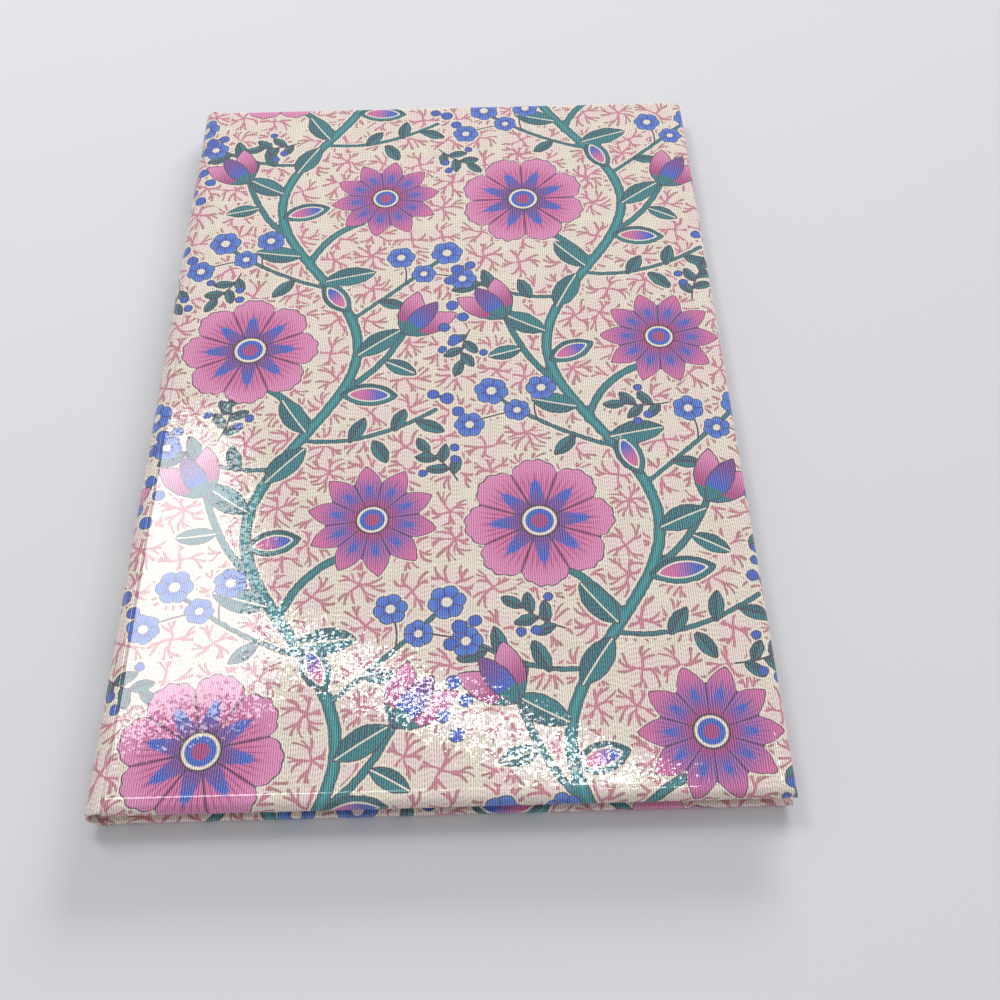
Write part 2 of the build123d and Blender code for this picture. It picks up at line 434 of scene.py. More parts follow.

# the film's weave is painted into the colour, as a painted highlight on each cord and painted shade in the
# gaps between cords; the film is also rubbed at the edges and creased beside them
filmLook = {
    "cordHighlight": (0.35, 0.9, 0.0, 0.2), "gapShade": (0.0, 0.5, 0.62, 0.0), "rubNoise": (1.3, 4.0, 0.7),
    "rubShare": 0.8, "rub": (1.0, 1.16), "rubRoughness": 0.4, "glossNoise": (0.5, 4.0),
    "gloss": (0.3, 0.75, 0.03, 0.07), "crease": (0.0, 0.3, 11.0, 0.0), "relief": 0.0015,
}
rib = useGroup(tree, linenRib, Sheet=flat)
# painted highlight on the cords, then painted shade in the gaps between them
cordHighlighted = blend(tree, rib["Cord"], filmLook["cordHighlight"], colour, inks["cord"])
shaded = blend(tree, rib["Cord"], filmLook["gapShade"], cordHighlighted, inks["gap"])
rubbed = timesPlus(tree, noise(tree, flat, *filmLook["rubNoise"]), filmLook["rubShare"], wornPart)
rub = ramp(tree, rubbed, *filmLook["rub"])
tree.links.new(mix(tree, rub, shaded, inks["worn"]), shader.inputs["Base Color"])
gloss = ramp(tree, noise(tree, flat, *filmLook["glossNoise"]), *filmLook["gloss"])
tree.links.new(timesPlus(tree, rub, filmLook["rubRoughness"], gloss), shader.inputs["Roughness"])
height = rib["Height"]
for crease in split(tree, field("creaseField")):
    height = calc(tree, "ADD", height, ramp(tree, calc(tree, "ABSOLUTE", crease), *filmLook["crease"]))
pressed = {"Strength": 1.0, "Distance": filmLook["relief"] * mm, "Height": height}
bump = addNode(tree, "ShaderNodeBump", pressed).outputs[0]
facing = vectorCalc(tree, "NORMALIZE", vectorCalc(tree, "ADD", bump, rib["Tilt"]))
tree.links.new(facing, shader.inputs["Normal"])


# endpapers, leaves, liner, board, thread and tabs read the frame's coordinates, in millimetres
def framePaper(name):
    material, tree, shader = newMaterial(name)
    place = addNode(tree, "ShaderNodeTexCoord").outputs["Object"]
    return material, tree, shader, scaled(tree, place, (1 / mm,) * 3)


def dressPaper(tree, shader, place, colour, relief, roughness):
    fibre = useGroup(tree, paperFibre, Place=place)
    shade = addNode(tree, "ShaderNodeCombineColor", {channel: fibre["Tone"] for channel in range(3)})
    toned = mix(tree, 1.0, colour, shade.outputs[0], blend_type="MULTIPLY")
    tree.links.new(toned, shader.inputs["Base Color"])
    raised = {"Strength": 1.0, "Distance": relief * mm, "Height": fibre["Height"]}
    tree.links.new(addNode(tree, "ShaderNodeBump", raised).outputs[0], shader.inputs["Normal"])
    shader.inputs["Roughness"].default_value = roughness


endLook = {
    "ground": srgb(240, 222, 214), "speck": srgb(214, 158, 172), "edge": srgb(222, 196, 176),
    "relief": 0.006, "roughness": 0.78, "speckNoise": (2.4, 1.0), "specks": (0.7, 0.76, 0.0, 0.8),
    "cloudScale": 0.05, "clouds": (0.45, 0.75, 0.0, 0.5),
}
endpaper, tree, shader, place = framePaper("endpaper")
specks = noise(tree, place, *endLook["speckNoise"])
speckled = blend(tree, specks, endLook["specks"], endLook["ground"], endLook["speck"])
clouds = noise(tree, place, endLook["cloudScale"])
clouded = blend(tree, clouds, endLook["clouds"], speckled, endLook["edge"])
dressPaper(tree, shader, place, clouded, endLook["relief"], endLook["roughness"])

ruling = {
    "pitch": 6.5, "line": 0.11, "soft": 1.3, "margin": 9.0, "tabWidth": 6.0, "tabSpace": 1.5,
    "headSpace": 13.0, "headMargin": 1.0, "tailSpace": 6.0, "agedScale": 0.04,
    "aged": (0.4, 0.8, 0.0, 0.2), "relief": 0.005, "roughness": 0.82, "page": srgb(246, 240, 226),
    "rule": srgb(196, 160, 178), "toned": srgb(228, 212, 184),
}
leafPaper, tree, shader, place = framePaper("leafPaper")
acrossLeaf, upLeaf, _ = split(tree, place)
fromHead = minus(tree, leafHigh.y / mm - ruling["headSpace"], upLeaf)
within = calc(tree, "PINGPONG", fromHead, ruling["pitch"] / 2)
onRule = ramp(tree, within, ruling["line"] / 2, ruling["line"] * ruling["soft"], 1.0, 0.0)
ruleEnd = leafHigh.x / mm - ruling["tabWidth"] - ruling["tabSpace"]
limits = [
    calc(tree, "GREATER_THAN", fromHead, -ruling["headMargin"]),
    calc(tree, "GREATER_THAN", upLeaf, leafLow.y / mm + ruling["tailSpace"]),
    calc(tree, "GREATER_THAN", acrossLeaf, leafLow.x / mm + ruling["margin"]),
    calc(tree, "LESS_THAN", acrossLeaf, ruleEnd),
]
for limit in limits:
    onRule = times(tree, onRule, limit)
ruled = mix(tree, onRule, ruling["page"], ruling["rule"])
aged = blend(tree, noise(tree, place, ruling["agedScale"]), ruling["aged"], ruled, ruling["toned"])
dressPaper(tree, shader, place, aged, ruling["relief"], ruling["roughness"])

kraft = {
    "light": srgb(190, 158, 116), "dark": srgb(160, 124, 84), "stretch": (1.0, 0.12, 1.0),
    "strandNoise": (1.6, 4.0), "strands": (0.3, 0.7), "relief": 0.01, "roughness": 0.85,
}
linerPaper, tree, shader, place = framePaper("linerPaper")
strands = noise(tree, scaled(tree, place, kraft["stretch"]), *kraft["strandNoise"])
stranded = blend(tree, strands, kraft["strands"], kraft["light"], kraft["dark"])
dressPaper(tree, shader, place, stranded, kraft["relief"], kraft["roughness"])

pulp = {
    "light": srgb(178, 170, 158), "dark": srgb(138, 130, 118), "fleck": srgb(96, 88, 80),
    "stretch": (0.4, 0.4, 6.0), "layerNoise": (1.0, 4.0), "layers": (0.3, 0.7),
    "fleckNoise": (3.0, 1.0), "flecks": (0.68, 0.74), "relief": 0.02, "roughness": 0.9,
}
greyboard, tree, shader, place = framePaper("greyboard")
layers = noise(tree, scaled(tree, place, pulp["stretch"]), *pulp["layerNoise"])
layered = blend(tree, layers, pulp["layers"], pulp["light"], pulp["dark"])
flecked = blend(tree, noise(tree, place, *pulp["fleckNoise"]), pulp["flecks"], layered, pulp["fleck"])
dressPaper(tree, shader, place, flecked, pulp["relief"], pulp["roughness"])

linen = {
    "light": srgb(236, 226, 206), "dark": srgb(184, 166, 138), "along": 14.0, "round": 9.0,
    "ply": (-0.7, 0.5), "relief": 0.01, "roughness": 0.7,
}
threadFibre, tree, shader, place = framePaper("threadFibre")
_, alongThread, upThread = split(tree, place)
twist = timesPlus(tree, alongThread, linen["along"], times(tree, upThread, linen["round"]))
plied = blend(tree, calc(tree, "SINE", twist), linen["ply"], linen["dark"], linen["light"])
dressPaper(tree, shader, place, plied, linen["relief"], linen["roughness"])

press = {
    "full": srgb(84, 46, 84), "thin": srgb(122, 82, 116), "noise": (3.0, 3.0), "uneven": (0.45, 0.7),
    "relief": 0.002, "roughness": 0.55,
}
letterInk, tree, shader, place = framePaper("letterInk")
uneven = blend(tree, noise(tree, place, *press["noise"]), press["uneven"], press["full"], press["thin"])
dressPaper(tree, shader, place, uneven, press["relief"], press["roughness"])

tabLook = {
    "inks": {"pinkTab": srgb(230, 172, 196), "tealTab": srgb(156, 204, 196)}, "noise": (0.9, 3.0),
    "faded": (0.4, 0.75, 0.0, 0.35), "relief": 0.004, "roughness": 0.75,
}
tabPapers = []
for name, tone in tabLook["inks"].items():
    tabPaper, tree, shader, place = framePaper(name)
    faded = blend(tree, noise(tree, place, *tabLook["noise"]), tabLook["faded"], tone, ruling["page"])
    dressPaper(tree, shader, place, faded, tabLook["relief"], tabLook["roughness"])
    tabPapers.append(tabPaper)
print("materials made")

# the print: winding vines in columns, every second one half a repeat higher, in millimetres
layout = {
    "column": 52.0, "repeat": 78.0, "firstColumn": -232.0, "columns": 7, "rows": 4, "firstRow": -167.0,
    "seed": 23, "sway": 8.5, "vineWidth": 1.7, "vinePoints": 60, "stemPoints": 15,
    "leafSize": (0.94, 1.08), "leafCurl": 0.05, "starPetals": 6,
    "leafTurn": 9.0, "rosetteTurn": 15.0, "tulipTurn": 8.0,  # degrees, to either side
    "starTurn": 3.0,  # radians, to one side
    # across, up, radius, petals, turn, kind
    "rosettes": [(-11.5, 20.0, 12.4, 8, 12.0, 0), (12.5, 60.0, 11.0, 10, 40.0, 1)],
    # across, up, turn, length
    "tulips": [(17.0, 23.0, 58.0, 11.0), (-16.0, 65.5, 124.0, 10.5)],
    # start, bend and end, each across and up, then the width
    "stems": [
        (1.0, 2.0, -3.0, 8.0, -8.0, 11.0, 1.2), (-2.0, 41.0, 0.5, 50.0, 8.0, 53.0, 1.2),
        (6.1, 10.0, 13.0, 14.0, 17.0, 23.5, 1.0), (-6.1, 49.0, -12.5, 54.0, -16.0, 66.0, 1.0),
        (7.0, 27.0, 14.0, 33.0, 24.5, 43.0, 0.6), (2.7, 35.0, -8.0, 38.0, -18.5, 47.0, 0.6),
        (-0.7, -1.0, 10.0, -3.5, 23.0, 5.0, 0.6), (-4.5, -7.0, -13.0, -8.5, -23.0, -2.0, 0.6),
        (17.0, 36.3, 17.5, 40.0, 16.0, 42.0, 0.0), (-11.0, 41.5, -12.0, 45.0, -10.5, 47.5, 0.0),
        (20.0, 39.0, 24.0, 38.0, 27.5, 37.5, 0.0), (-14.0, 43.5, -19.0, 42.5, -22.5, 41.0, 0.0),
    ],
    # across, up, radius
    "stars": [
        (16.0, 43.0, 2.7), (25.0, 44.0, 3.0), (28.0, 37.0, 2.6), (20.5, 38.5, 2.3),
        (-10.0, 48.5, 2.7), (-19.0, 48.0, 3.0), (-23.0, 40.5, 2.6), (-14.5, 43.5, 2.3),
    ],
    "berries": [
        (25.0, 7.5, 1.15), (27.0, 4.5, 1.0), (22.5, 8.5, 0.95), (-25.0, 0.5, 1.15), (-26.5, -2.5, 1.0),
        (-22.5, 1.5, 0.95), (24.5, 24.5, 1.0), (26.5, 21.5, 1.1), (-24.0, 66.0, 1.0), (-26.0, 69.0, 1.1),
    ],
    # across, up, turn, length, width, kind
    "leaves": [
        (5.8, 9.0, 4.0, 10.5, 4.8, 1), (8.4, 18.0, 30.0, 9.5, 4.4, 0), (6.4, 29.0, 118.0, 9.0, 4.4, 1),
        (1.4, 37.0, 12.0, 10.0, 4.4, 0), (-3.6, 44.0, 168.0, 9.0, 4.2, 0), (-8.2, 55.0, 20.0, 9.0, 4.6, 1),
        (-8.4, 62.0, 150.0, 9.5, 4.4, 0), (-6.2, 68.0, 58.0, 9.5, 4.4, 0), (0.2, 0.5, 128.0, 9.0, 4.2, 0),
        (13.6, 16.5, -22.0, 6.5, 3.0, 0), (-13.2, 58.0, 196.0, 6.5, 3.0, 0), (8.0, -1.8, 64.0, 5.6, 2.4, 2),
        (12.0, -1.5, -52.0, 5.6, 2.4, 2), (15.6, 0.3, 78.0, 5.4, 2.3, 2), (19.4, 2.6, -24.0, 5.4, 2.3, 2),
        (-11.0, -7.6, 118.0, 5.6, 2.4, 2), (-14.6, -6.6, 236.0, 5.6, 2.4, 2),
        (-18.0, -5.0, 108.0, 5.4, 2.3, 2), (-20.6, -3.6, 206.0, 5.4, 2.3, 2),
        (12.0, 31.5, -12.0, 5.4, 2.3, 2), (-4.6, 37.6, 226.0, 5.4, 2.3, 2),
    ],
    "margin": 3.0,  # how far past a motif its distance is still measured
    "leafEnds": (-0.9, 2.9), "rosetteEnd": 3.0,  # shares kept apart from the next kind's
    "kept": (-3.0, 12.0),  # range of the values that a mesh carries
}
# how far in a petal's edge starts, how much it swells, and how sharply
petalCuts = {"plain": (0.8, 0.2, 0.6), "scalloped": (0.78, 0.2, 0.6), "pointed": (0.66, 0.34, 0.85)}
scallops = {"number": 4, "depth": 0.035}
tulipForm = {"spread": 25.0, "petal": 0.42, "heart": (0.92, 0.36)}
sprig = {
    "length": 7.6, "bendAt": 4.0, "bend": 0.9, "bow": 1.6,
    "leafLength": 3.9, "leafWidth": 1.75, "leafKind": 2,
    "leaves": [(1.2, 52.0), (2.6, -50.0), (4.4, 48.0), (5.6, -46.0), (7.4, 4.0)],  # way along, lean
    "berries": [(3.4, 2.5, 0.75), (5.4, 4.0, 0.75), (4.8, -3.6, 0.7)],  # way along, way aside, radius
    "tries": 2600, "across": (-175.0, 60.0), "up": (-84.0, 84.0),  # where a place is looked for
    "half": 4.0, "halfWidth": 3.2, "room": 0.5, "apart": 10.0,  # half its size, and the room it needs
}


# shapes of the motifs, as distances in millimetres that are below zero inside
def lens(along, across, length, width):
    bow = (length**2 + width**2) / (4 * width)
    return np.hypot(along - length / 2, np.abs(across) + bow - width / 2) - bow


def turned(points, centre, angle):
    away = points - np.array(centre)
    c, s = math.cos(angle), math.sin(angle)
    return away[:, 0] * c + away[:, 1] * s, away[:, 1] * c - away[:, 0] * s


def rosette(points, centre, radius, petals, angle, cut="plain"):
    along, across = turned(points, centre, angle)
    reach = np.hypot(along, across)
    turn = petals * np.arctan2(across, along) / 2
    side = np.sin(turn)
    foot, swell, power = petalCuts[cut]
    rise = np.arcsin(np.abs(side)) * 2 / math.pi if cut == "pointed" else np.abs(side)
    lobe = foot + swell * rise**power
    if cut == "scalloped":
        lobe = lobe * (1 + scallops["depth"] * np.abs(np.sin(turn * scallops["number"])))
    return reach - lobe * radius, reach / radius, side


def tulip(points, centre, angle, length):
    along, across = turned(points, centre, angle)
    spread = math.radians(tulipForm["spread"])
    c, s = math.cos(spread), math.sin(spread)
    width = length * tulipForm["petal"]
    right = lens(along * c + across * s, across * c - along * s, length, width)
    left = lens(along * c - across * s, across * c + along * s, length, width)
    heartLength, heartWidth = tulipForm["heart"]
    heart = lens(along, across, length * heartLength, length * heartWidth)
    return np.minimum(left, right), heart, along / length


def stroke(points, line):
    best, side = np.full(len(points), np.inf), np.zeros(len(points))
    for start, stop in zip(line[:-1], line[1:]):
        run, away = stop - start, points - start
        share = np.clip(away @ run / (run @ run), 0, 1)
        gap = np.hypot(*(away - share[:, None] * run).T)
        nearer = gap < best
        best[nearer] = gap[nearer]
        side[nearer] = ((run[0] * away[:, 1] - run[1] * away[:, 0]) / math.hypot(*run))[nearer]
    return best, side


def curveLine(stem, origin):
    share = np.linspace(0, 1, layout["stemPoints"])[:, None]
    a, b, c = (np.array(stem[i:i + 2]) + origin for i in (0, 2, 4))
    return a * (1 - share) ** 2 + 2 * b * share * (1 - share) + c * share**2


# a motif is measured only near it, and keeps the points that it is nearer to than the motifs before it
def stamp(target, points, centre, reach, measure):
    near = np.flatnonzero(np.abs(points - np.array(centre)).max(axis=1) < reach + layout["margin"])
    if len(near):
        values = np.stack(measure(points[near]), axis=1)
        better = values[:, 0] < target[near, 0]
        target[near[better]] = values[better]


def drawMotifs(points):
    blank = np.tile((layout["margin"], layout["margin"], 0.0), (len(points), 1))
    names = ("stemField", "thinField", "leafField", "bloomField", "budField", "starField")
    fields = {name: blank.copy() for name in names}
    berryField = blank[:, 1:].copy()
    chance = random.Random(layout["seed"])

    def drawStem(line, width=0.0):
        low, high = line.min(axis=0), line.max(axis=0)

        def measure(near):
            away, side = stroke(near, line)
            return away - width / 2, side, np.zeros(len(near))
        target = fields["stemField" if width else "thinField"]
        stamp(target, points, (low + high) / 2, (high - low).max() / 2, measure)

    def drawLeaf(centre, angle, length, width, kind):
        def measure(near):
            along, across = turned(near, centre, angle)
            curl = across + layout["leafCurl"] * (along / length - 0.5) * along
            share = np.clip(along / length, *layout["leafEnds"])
            return lens(along, curl, length, width), curl, share + kindStep * kind
        stamp(fields["leafField"], points, centre, length, measure)

    def drawRosette(centre, radius, petals, angle, kind):
        def measure(near):
            cut = ("scalloped", "pointed")[kind]
            edge, reach, side = rosette(near, centre, radius, petals, angle, cut)
            return edge, np.minimum(reach, layout["rosetteEnd"]) + kindStep * kind, side
        stamp(fields["bloomField"], points, centre, radius, measure)

    def drawTulip(centre, angle, length):
        stamp(fields["budField"], points, centre, length, lambda near: tulip(near, centre, angle, length))

    def drawStar(centre, radius, angle):
        def measure(near):
            return rosette(near, centre, radius, layout["starPetals"], angle)
        stamp(fields["starField"], points, centre, radius, measure)

    def drawBerry(centre, radius):
        def measure(near):
            return np.hypot(*(near - centre).T) - radius, np.zeros(len(near))
        stamp(berryField, points, centre, radius, measure)

    def drawRepeat(origin):
        rise = np.linspace(0, layout["repeat"], layout["vinePoints"])
        sway = layout["sway"] * np.sin(fullTurn * rise / layout["repeat"])
        drawStem(np.stack((sway, rise), axis=1) + origin, layout["vineWidth"])
        for stem in layout["stems"]:
            drawStem(curveLine(stem, origin), stem[6])
        for x, y, angle, length, width, kind in layout["leaves"]:
            angle += chance.uniform(-layout["leafTurn"], layout["leafTurn"])
            length *= chance.uniform(*layout["leafSize"])
            drawLeaf(origin + (x, y), math.radians(angle), length, width, kind)
        for x, y, radius, petals, angle, kind in layout["rosettes"]:
            angle += chance.uniform(-layout["rosetteTurn"], layout["rosetteTurn"])
            drawRosette(origin + (x, y), radius, petals, math.radians(angle), kind)
        for x, y, angle, length in layout["tulips"]:
            angle += chance.uniform(-layout["tulipTurn"], layout["tulipTurn"])
            drawTulip(origin + (x, y), math.radians(angle), length)
        for x, y, radius in layout["stars"]:
            drawStar(origin + (x, y), radius, chance.uniform(0, layout["starTurn"]))
        for x, y, radius in layout["berries"]:
            drawBerry(origin + (x, y), radius)

    def drawSprig(root, angle, flip):
        c, s = math.cos(angle), math.sin(angle)
        ahead, aside = np.array((c, s)), np.array((-s, c)) * flip
        bend = root + ahead * sprig["bendAt"] + aside * sprig["bend"]
        drawStem(curveLine(np.concatenate((root, bend, root + ahead * sprig["length"])), np.zeros(2)))
        for way, lean in sprig["leaves"]:
            share = way / sprig["length"]
            foot = root + ahead * way + aside * sprig["bow"] * share * (1 - share)
            leafAngle = angle + flip * math.radians(lean)
            drawLeaf(foot, leafAngle, sprig["leafLength"], sprig["leafWidth"], sprig["leafKind"])
        for way, off, radius in sprig["berries"]:
            drawBerry(root + ahead * way + aside * off, radius)

    for column in range(layout["columns"]):
        for row in range(layout["rows"]):
            shift = layout["repeat"] / 2 * (column % 2)
            across = layout["firstColumn"] + column * layout["column"]
            drawRepeat(np.array((across, layout["firstRow"] + row * layout["repeat"] + shift)))
    for root, angle, flip in sprigs:
        drawSprig(root, angle, flip)
    fields["stemField"][:, 1] = berryField[:, 0]
    return fields


def sprigPoint(u, v, angle, ahead, aside):
    c, s = math.cos(angle), math.sin(angle)
    return u + c * ahead - s * aside, v + s * ahead + c * aside


# small sprigs go where the vines leave room, tried over the whole sheet
sprigs = []
chance = random.Random(layout["seed"] + 1)
tries = []
for _ in range(sprig["tries"]):
    u, v = chance.uniform(*sprig["across"]), chance.uniform(*sprig["up"])
    tries.append((u, v, chance.uniform(0, fullTurn)))
tryPoints = []
for u, v, angle in tries:
    for ahead in (0.0, sprig["half"], 2 * sprig["half"]):
        for aside in (-sprig["halfWidth"], 0.0, sprig["halfWidth"]):
            tryPoints.append(sprigPoint(u, v, angle, ahead, aside))
clear = drawMotifs(np.array(tryPoints))
distances = [values[:, 0] for values in clear.values()] + [clear["stemField"][:, 1]]
room = np.min(distances, axis=0).reshape(len(tries), -1)
found = []
for (u, v, angle), gaps in zip(tries, room):
    middle = np.array(sprigPoint(u, v, angle, sprig["half"], 0.0))
    apart = all(np.hypot(*(middle - other)) > sprig["apart"] for other in found)
    if apart and gaps.min() > sprig["room"]:
        found.append(middle)
        sprigs.append((np.array((u, v)), angle, 1 if len(found) % 2 else -1))
print("print drawn with", len(sprigs), "sprigs")


def carryPrint(mesh):
    sheetData = np.zeros(len(mesh.vertices) * 3, np.float32)
    mesh.attributes["sheet"].data.foreach_get("vector", sheetData)
    points = sheetData.reshape(-1, 3)[:, :2].astype(float)
    for name, values in drawMotifs(points).items():
        attribute = mesh.attributes.new(name, "FLOAT_VECTOR", "POINT")
        attribute.data.foreach_set("vector", np.clip(values, *layout["kept"]).astype(np.float32).ravel())


def addPiece(name, bm, materials, body, replaced=(), smooth=True):
    mesh = bpy.data.meshes.new(name)
    bm.to_mesh(mesh)
    bm.free()
    for material in materials:
        mesh.materials.append(material)
    if smooth:
        mesh.shade_smooth()
    piece = bpy.data.objects.new(name, mesh)
    bpy.context.scene.collection.objects.link(piece)
    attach(piece, body)
    if replaced:
        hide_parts(*replaced)
    return piece


# covers: a finely divided printed face whose three free edges are rolled over the board and turned in
cover = {
    "grid": 0.5, "outer": 1.2, "inner": 0.3,  # the printed face's squares, and radii of the rolled edges
    "turns": 6, "wallSteps": 2, "innerTurns": 3, "insideSteps": 6, "insideStep": 0.55,
    "ridge": 2.0, "hingeRidge": 0.15,  # from the edges and the hinge line to the creases in the film
    "edgeWear": 0.34, "edgeStart": 0.3, "insideStart": 0.05,
    "cornerWear": 0.2, "cornerStart": 0.2, "cornerReach": 4.5,
}
noCrease = 5.0  # a distance at which no crease shows


# each step round an edge: how far out, how deep, and how far along the paper
def rolledProfile():
    outer, inner, thickness = cover["outer"], cover["inner"], coverThickness / mm
    steps = []
    for turn in range(1, cover["turns"] + 1):
        angle = quarterTurn * turn / cover["turns"]
        steps.append((outer * math.sin(angle), outer * (1 - math.cos(angle)), outer * angle))
    wall = thickness - outer - inner
    way = outer * quarterTurn
    for step in range(1, cover["wallSteps"] + 1):
        down = wall * step / cover["wallSteps"]
        steps.append((outer, outer + down, way + down))
    way += wall
    for turn in range(1, cover["innerTurns"] + 1):
        angle = quarterTurn * turn / cover["innerTurns"]
        out = outer - inner * (1 - math.cos(angle))
        steps.append((out, thickness - inner * (1 - math.sin(angle)), way + inner * angle))
    way += inner * quarterTurn
    for step in range(1, cover["insideSteps"] + 1):
        back = cover["insideStep"] * step
        steps.append((outer - inner - back, thickness, way + back))
    return steps


# the film is rubbed along the rolled edges, and most at the corners
def coverWear(x, y, depth):
    fromFore, fromTail = (foreX - x) / mm, (halfLength - abs(y)) / mm
    corner = max(0.0, 1 - math.hypot(fromFore, fromTail) / cover["cornerReach"])
    edge = min(1.0, depth / cover["edgeStart"])
    if depth >= coverThickness / mm - cover["insideStart"]:
        edge = 0.0
    corner *= min(1.0, depth / cover["cornerStart"])
    return cover["edgeWear"] * edge + cover["cornerWear"] * corner


def coverCreases(x, y):
    ridge = cover["ridge"] * mm
    besideHinge = (x - hingeX) / mm - cover["hingeRidge"]
    return (abs(y) - halfLength + ridge) / mm, (x - foreX + ridge) / mm, besideHinge


# outside is the printed face's height, and sheetHinge is the hinge line's place on the unrolled sheet
def buildCover(name, outside, inward, sheetHinge, sheetWay, body, replaced):
    bm = bmesh.new()
    sheetLayer = bm.verts.layers.float_vector.new("sheet")
    creaseLayer = bm.verts.layers.float_vector.new("creaseField")
    flatX, flatY = foreX - cover["outer"] * mm, halfLength - cover["outer"] * mm
    spanX, spanY = flatX - hingeX, 2 * flatY
    place = Matrix.Translation((hingeX + spanX / 2, 0, outside)) @ Matrix.Diagonal((spanX, spanY, 1, 1))
    columns, rows = round(spanX / mm / cover["grid"]), round(spanY / mm / cover["grid"])
    bmesh.ops.create_grid(bm, x_segments=columns, y_segments=rows, size=0.5, matrix=place)

    def unrolled(x, y, outX, outY, way):
        return sheetHinge + sheetWay * ((x - hingeX) / mm + outX * way), y / mm + outY * way

    ring = {}  # the vertices along the free edges, with the way out from each
    for vert in bm.verts:
        x, y = vert.co.xy
        vert[sheetLayer] = (*unrolled(x, y, 0, 0, 0), 0.0)
        vert[creaseLayer] = coverCreases(x, y)
        outX = 1 if x > flatX - tiny else 0
        outY = (1 if y > flatY - tiny else 0) - (1 if y < -flatY + tiny else 0)
        if outX or outY:
            ring[vert] = (x, y, outX, outY)
    edges = [e for e in bm.edges if e.is_boundary and e.verts[0] in ring and e.verts[1] in ring]
    for out, depth, way in rolledProfile():
        grown = bmesh.ops.extrude_edge_only(bm, edges=edges)["geom"]
        fresh = {g for g in grown if isinstance(g, bmesh.types.BMVert)}
        limitX, limitY = flatX + out * mm, flatY + out * mm
        nextRing = {}
        for vert, (x, y, outX, outY) in ring.items():
            new = next(e.other_vert(vert) for e in vert.link_edges if e.other_vert(vert) in fresh)
            alongX = min(x + outX * out * mm, limitX)
            alongY = max(-limitY, min(y + outY * out * mm, limitY))
            new.co = (alongX, alongY, outside + inward * depth * mm)
            new[sheetLayer] = (*unrolled(x, y, outX, outY, way), coverWear(new.co.x, new.co.y, depth))
            new[creaseLayer] = (noCrease, noCrease, noCrease if x > hingeX + tiny else 0.0)
            nextRing[new] = (x, y, outX, outY)
        ring = nextRing
        edges = [g for g in grown if isinstance(g, bmesh.types.BMEdge)]
        edges = [e for e in edges if e.verts[0] in ring and e.verts[1] in ring]
    bmesh.ops.remove_doubles(bm, verts=bm.verts, dist=tiny)

    # the open hinge side is closed with board, and the inside with one face
    rim = [e for e in bm.edges if e.is_boundary]
    hole = [e for e in rim if max(e.verts[0].co.x, e.verts[1].co.x) < hingeX + tiny]
    inside = [e for e in rim if e not in set(hole)]
    innerZ = outside + inward * coverThickness
    ends = {v for e in inside for v in e.verts if v.co.x < hingeX + tiny and abs(v.co.z - innerZ) < tiny}
    closing = bm.edges.new(tuple(ends))
    for face in bmesh.ops.edgeloop_fill(bm, edges=hole + [closing])["faces"]:
        face.material_index = 1
    bmesh.ops.edgeloop_fill(bm, edges=inside + [closing])
    bmesh.ops.recalc_face_normals(bm, faces=bm.faces)
    piece = addPiece(name, bm, (printedPaper, greyboard), body, replaced)
    carryPrint(piece.data)
    print(name, "has", len(piece.data.polygons), "faces")


frontSheet = hingeX / mm
backSheet = frontSheet - spineArc
buildCover("frontCoverCase", bookHeight, -1, frontSheet, 1, "front_cover", ["front_cover_paper"])
buildCover("backCoverCase", backLow.z, 1, backSheet, -1, "back_cover", ["back_cover_paper"])

# spine: five strips of the same sheet, turned in over the liner at head and tail
spine = {
    "strips": 5, "steps": 6, "grid": 0.5, "paper": 0.15, "endThickness": 0.55, "turnIn": 9.0,
    "turnSteps": 4, "endSteps": 5, "wear": 0.7, "wearReach": 1.5,
}
stripTurn = math.pi / spine["strips"]
bindingAxis = Vector((hingeX, 0, spineRadius))
endRound = spine["endThickness"] / 2 * mm
endCentre = spineRadius - endRound
straight = halfLength - endRound
stripRows = round(2 * straight / mm / spine["grid"])


# a spin without an angle draws a line's end straight on
def runAlong(bm, geom, reach, steps):
    step = {"axis": (0, 1, 0), "dvec": (0, reach / steps, 0), "angle": 0, "steps": steps}
    return bmesh.ops.spin(bm, geom=geom, cent=geom[0].co.copy(), **step)["geom_last"]


def turnOver(bm, geom, y):
    fold = {"axis": (1, 0, 0), "angle": math.pi, "steps": spine["endSteps"]}
    return bmesh.ops.spin(bm, geom=geom, cent=(hingeX, y, spineRadius - endCentre), **fold)["geom_last"]


# where a strip's vertex lies on the unrolled sheet, and how worn it is there
def sheetPlace(vert):
    turn = math.atan2(hingeX - vert.co.x, spineRadius - vert.co.z) % fullTurn
    radius = math.hypot(vert.co.x - hingeX, vert.co.z - spineRadius)
    reach = abs(vert.co.y)
    if reach > straight + tiny:
        way = straight + endRound * math.atan2(reach - straight, radius - endCentre)
    elif radius > endCentre:
        way = reach
    else:
        way = 2 * straight + math.pi * endRound - reach
    worn = max(0.0, spine["wear"] - abs(way - halfLength) / mm / spine["wearReach"])
    return backSheet + turn * spineRadius / mm, math.copysign(way, vert.co.y) / mm, worn


def outward(face):
    return (face.calc_center_median() - bindingAxis).xz


